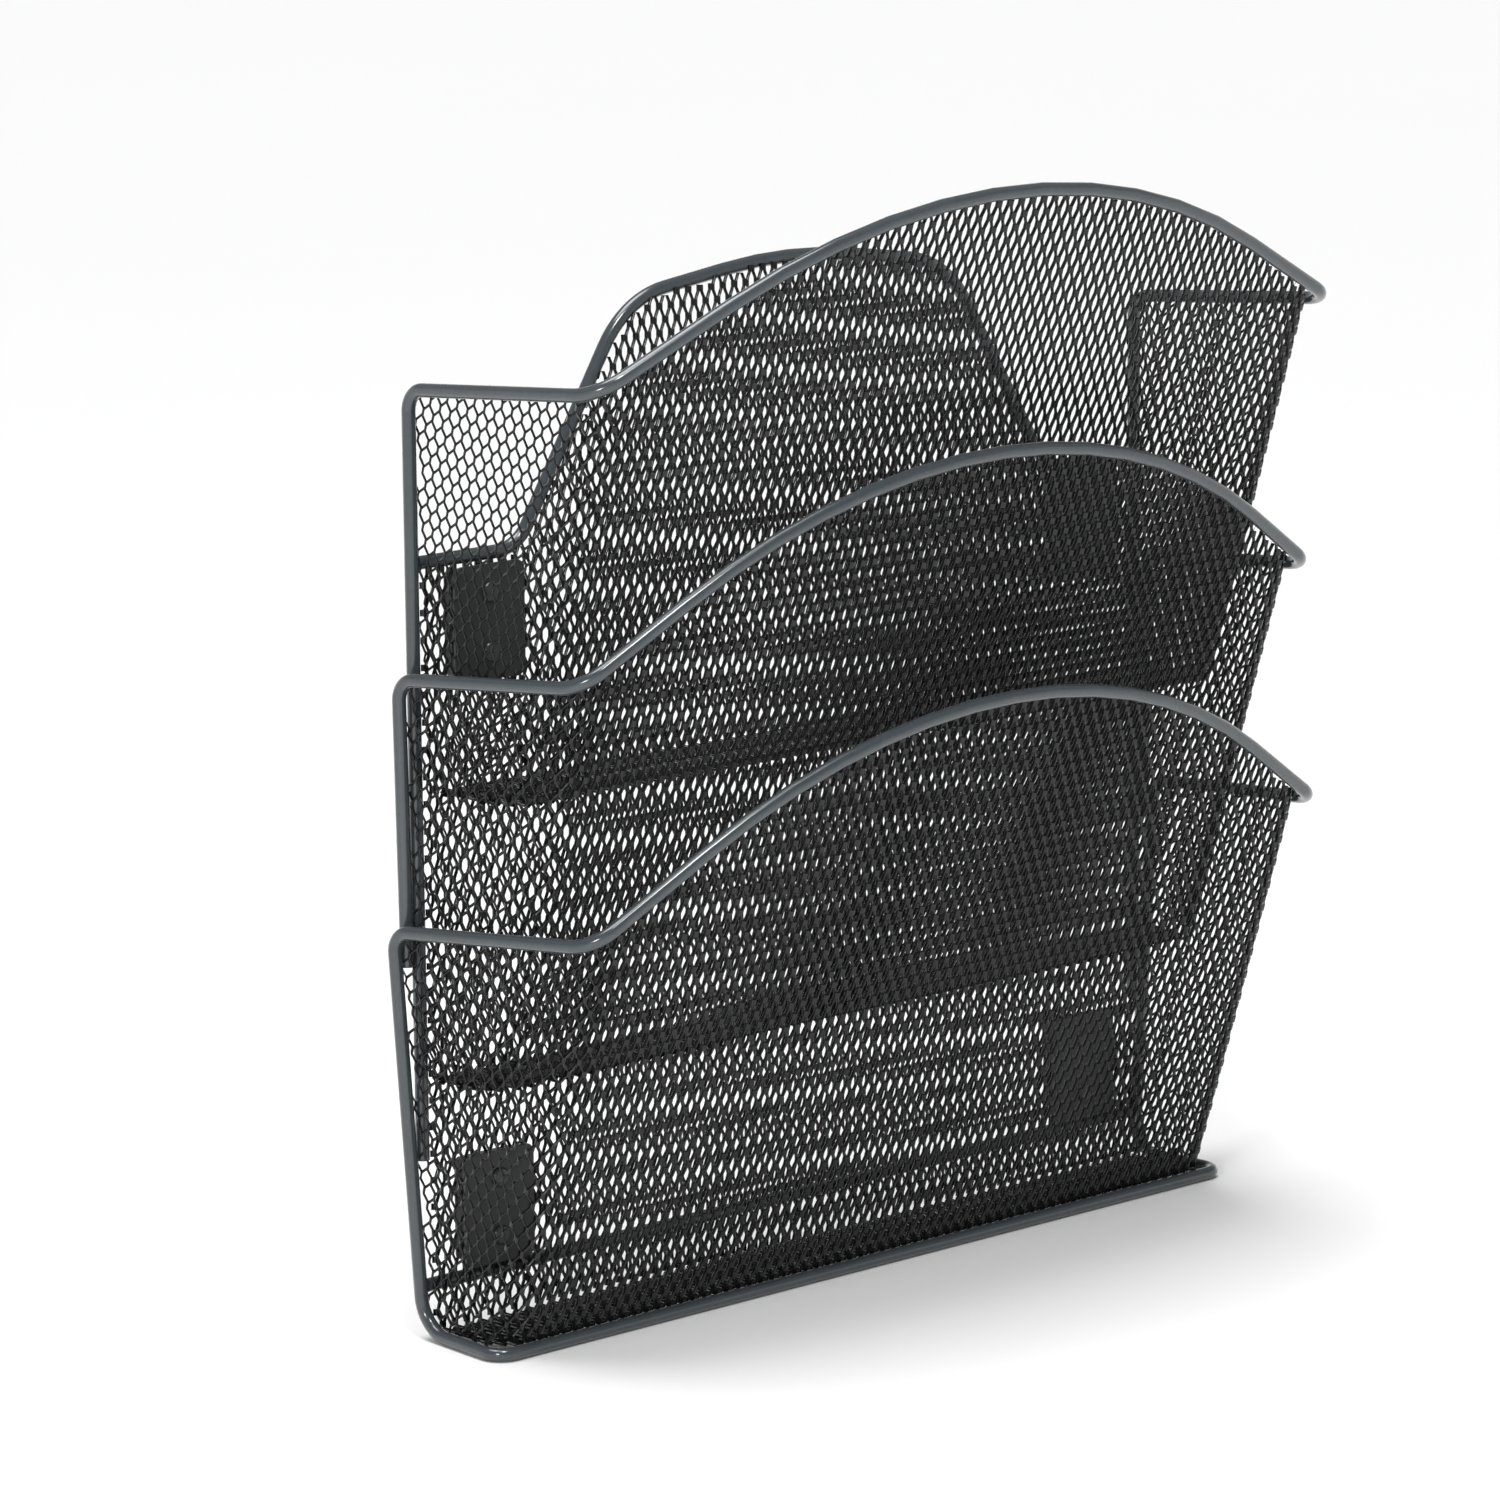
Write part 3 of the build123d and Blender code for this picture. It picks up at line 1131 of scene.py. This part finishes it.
@dataclass(frozen=True)
class MagnetFixings:
    """The four magnets, their plates and the rivets through both."""

    corners: tuple[str, ...] = ("upper_left", "upper_right", "lower_left", "lower_right")
    magnet_round: float = 0.6
    plate_round: float = 0.3
    rivet_round: float = 0.12

    def softened(self, node: str, width: float, slot: Slot, material: bpy.types.Material) -> None:
        """Copy a CAD part with its sharp edges rounded.

        Args:
            node: The CAD node.
            width: Size of the rounding in millimetres.
            slot: Record slot of its finish.
            material: Its finish.
        """
        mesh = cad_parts[node].data.copy()
        shape = bmesh.new()
        shape.from_mesh(mesh)
        bmesh.ops.remove_doubles(shape, verts=shape.verts, dist=1e-6)
        bmesh.ops.dissolve_limit(
            shape, angle_limit=math.radians(1.5), verts=shape.verts, edges=shape.edges
        )
        shape.to_mesh(mesh)
        shape.free()
        piece = bpy.data.objects.new(node + "_finished", mesh)
        bpy.context.scene.collection.objects.link(piece)
        bevel = piece.modifiers.new("rounding", "BEVEL")
        bevel.width = width * MM
        bevel.segments = 3
        bevel.limit_method = "ANGLE"
        bevel.angle_limit = math.radians(40)
        bevel.use_clamp_overlap = True
        for face in mesh.polygons:
            face.use_smooth = True
        mesh.set_sharp_from_angle(angle=math.radians(35))
        finish_piece(piece, slot, material, node)

    def build(self, finishes: dict[Slot, bpy.types.Material]) -> None:
        """Make and dress every magnet, plate and rivet.

        Args:
            finishes: Materials by slot.
        """
        for corner in self.corners:
            self.softened(f"{corner}_magnet", self.magnet_round, Slot.MAGNET, finishes[Slot.MAGNET])
            self.softened(
                f"{corner}_magnet_plate", self.plate_round, Slot.PLATE, finishes[Slot.PLATE]
            )
        self.softened("magnet_rivets", self.rivet_round, Slot.RIVET, finishes[Slot.RIVET])


# ----------------------------------------------------------------------- studio


@dataclass(frozen=True)
class Studio:
    """Pale floor, soft lights and the camera."""

    azimuth: float = -42.279
    elevation: float = 11.178
    roll: float = -0.523
    distance: float = 1941.6
    lens: float = 155.74
    target: Point = (-61.49, -51.1, 174.0)

    def camera(self) -> None:
        """Place the camera and make it the scene's."""
        a, e, r = (math.radians(v) for v in (self.azimuth, self.elevation, self.roll))
        back = Vector((math.sin(a) * math.cos(e), -math.cos(a) * math.cos(e), math.sin(e)))
        right = Vector((math.cos(a), math.sin(a), 0.0))
        up = back.cross(right)
        turned = right * math.cos(r) + up * math.sin(r)
        raised = up * math.cos(r) - right * math.sin(r)
        data = bpy.data.cameras.new("camera")
        data.sensor_width = 36.0
        data.lens = self.lens
        data.clip_start = 0.05
        data.clip_end = 50.0
        made = bpy.data.objects.new("camera", data)
        bpy.context.scene.collection.objects.link(made)
        place = Vector(self.target) * MM + back * self.distance * MM
        turn = Matrix((turned, raised, back)).transposed().to_4x4()
        made.matrix_world = Matrix.Translation(place) @ turn
        bpy.context.scene.camera = made

    def light(self, name: str, place: Point, aim: Point, size: float, power: float) -> None:
        """Add one soft rectangular light.

        Args:
            name: Its name.
            place: Where it stands, in metres.
            aim: What it points at, in metres.
            size: Length of its side, in metres.
            power: Watts.
        """
        data = bpy.data.lights.new(name, "AREA")
        data.shape = "SQUARE"
        data.size = size
        data.energy = power
        made = bpy.data.objects.new(name, data)
        made.location = place
        made.rotation_euler = (Vector(aim) - Vector(place)).to_track_quat("-Z", "Y").to_euler()
        bpy.context.scene.collection.objects.link(made)

    def sun(self, name: str, towards: Point, spread: float, power: float) -> None:
        """Add one broad, far light.

        Args:
            name: Its name.
            towards: Direction from the rack to the light.
            spread: Angle that it fills, in degrees.
            power: Watts per square metre.
        """
        data = bpy.data.lights.new(name, "SUN")
        data.angle = math.radians(spread)
        data.energy = power
        made = bpy.data.objects.new(name, data)
        made.rotation_euler = (-Vector(towards)).to_track_quat("-Z", "Y").to_euler()
        bpy.context.scene.collection.objects.link(made)

    def floor(self) -> None:
        """Lay the pale floor."""
        size = 60000.0
        corners = [(-size, -size, 0), (size, -size, 0), (size, size, 0), (-size, size, 0)]
        made = mesh_object("floor", np.array(corners, float), [], [(0, 1, 2, 3)])
        material = bpy.data.materials.new("pale_floor")
        material.use_nodes = True
        tree = NodeTree(material.node_tree)
        place = tree.node("ShaderNodeTexCoord").outputs["Object"]
        cloud = tree.out(tree.node("ShaderNodeTexNoise", Vector=place, Scale=3.0), "Fac")
        shader = tree.node(
            "ShaderNodeBsdfPrincipled",
            Base_Color=(0.93, 0.93, 0.93, 1.0),
            Roughness=cloud * 0.1 + 0.7,
        )
        tree.node("ShaderNodeOutputMaterial", Surface=shader.outputs[0])
        made.data.materials.append(material)
        made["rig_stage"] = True

    def world(self) -> None:
        """Fill the room with white light."""
        made = bpy.data.worlds.new("white_room")
        made.use_nodes = True
        tree = NodeTree(made.node_tree)
        way = tree.node("ShaderNodeTexCoord").outputs["Generated"]
        height = tree.node("ShaderNodeSeparateXYZ", Vector=way)
        pale, dim = (0.9, 0.9, 0.9, 1.0), (0.22, 0.22, 0.22, 1.0)
        walls = tree.node(
            "ShaderNodeValToRGB",
            {"stops": [(0.0, pale), (0.12, pale), (0.45, dim)]},
            Fac=tree.out(height, "Z"),
        )
        glow = tree.node("ShaderNodeBackground", Color=tree.out(walls, "Color"), Strength=1.0)
        tree.node("ShaderNodeOutputWorld", Surface=glow.outputs[0])
        bpy.context.scene.world = made

    def build(self) -> None:
        """Set up the whole studio."""
        self.camera()
        self.floor()
        self.world()
        middle = (0.0, -0.05, 0.17)
        self.sun("even_top_light", (-0.05, 0.15, 1.0), 38.0, 2.5)
        self.light("overhead", (-0.35, -0.5, 1.2), middle, 0.24, 6.0)
        self.light("left_strip", (-1.1, -0.6, 0.55), middle, 0.2, 4.5)
        view = bpy.context.scene.view_settings
        view.view_transform = "Standard"
        view.look = "None"


POCKETS = (
    Pocket("top", "top_pocket_rim_rod", 167.0, 293.6, -88.0, 46.9, 27.4, 151.5, 151.5, 55.0, 153.0),
    Pocket(
        "middle",
        "middle_pocket_rim_rod",
        80.0,
        208.2,
        -79.4,
        53.9,
        32.8,
        157.3,
        156.0,
        115.0,
        153.0,
    ),
    Pocket(
        "bottom",
        "bottom_pocket_rim_and_base_rod",
        2.1,
        132.8,
        -82.8,
        55.7,
        33.1,
        161.1,
        153.2,
        14.0,
        154.5,
        looped=True,
    ),
)


def check_sizes() -> None:
    """Log how far each finished piece's box is from the box of the node that it stands for."""
    graph = bpy.context.evaluated_depsgraph_get()
    graph.update()
    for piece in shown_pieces():
        nodes = list(piece.get("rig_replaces", []))
        if not nodes:
            continue
        low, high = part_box(nodes[0])
        corners = [Vector(c) for c in piece.evaluated_get(graph).bound_box]
        off = 0.0
        for axis in range(3):
            off = max(off, abs(min(c[axis] for c in corners) - low[axis]))
            off = max(off, abs(max(c[axis] for c in corners) - high[axis]))
        log.info("%s is within %.2f mm of its CAD box", piece.name, off / MM)


def main() -> None:
    """Build the rack, dress it and set up the studio."""
    finishes = {
        Slot.ROD: ROD_COAT.material(),
        Slot.MESH: MESH_COAT.material(),
        Slot.MAGNET: RUBBER.material(),
        Slot.PLATE: PLATE_COAT.material(),
        Slot.RIVET: RIVET_COAT.material(),
    }
    rods = rod_tree()
    lattice = lattice_tree()
    cell = ExpandedCell()
    shape = cell.build()
    for pocket in POCKETS:
        pocket.build(rods, lattice, cell, shape, finishes)
    Back().build(rods, lattice, cell, shape, finishes)
    bpy.data.objects.remove(shape)
    MagnetFixings().build(finishes)
    Studio().build()
    check_sizes()


if __name__ == "__main__":
    main()
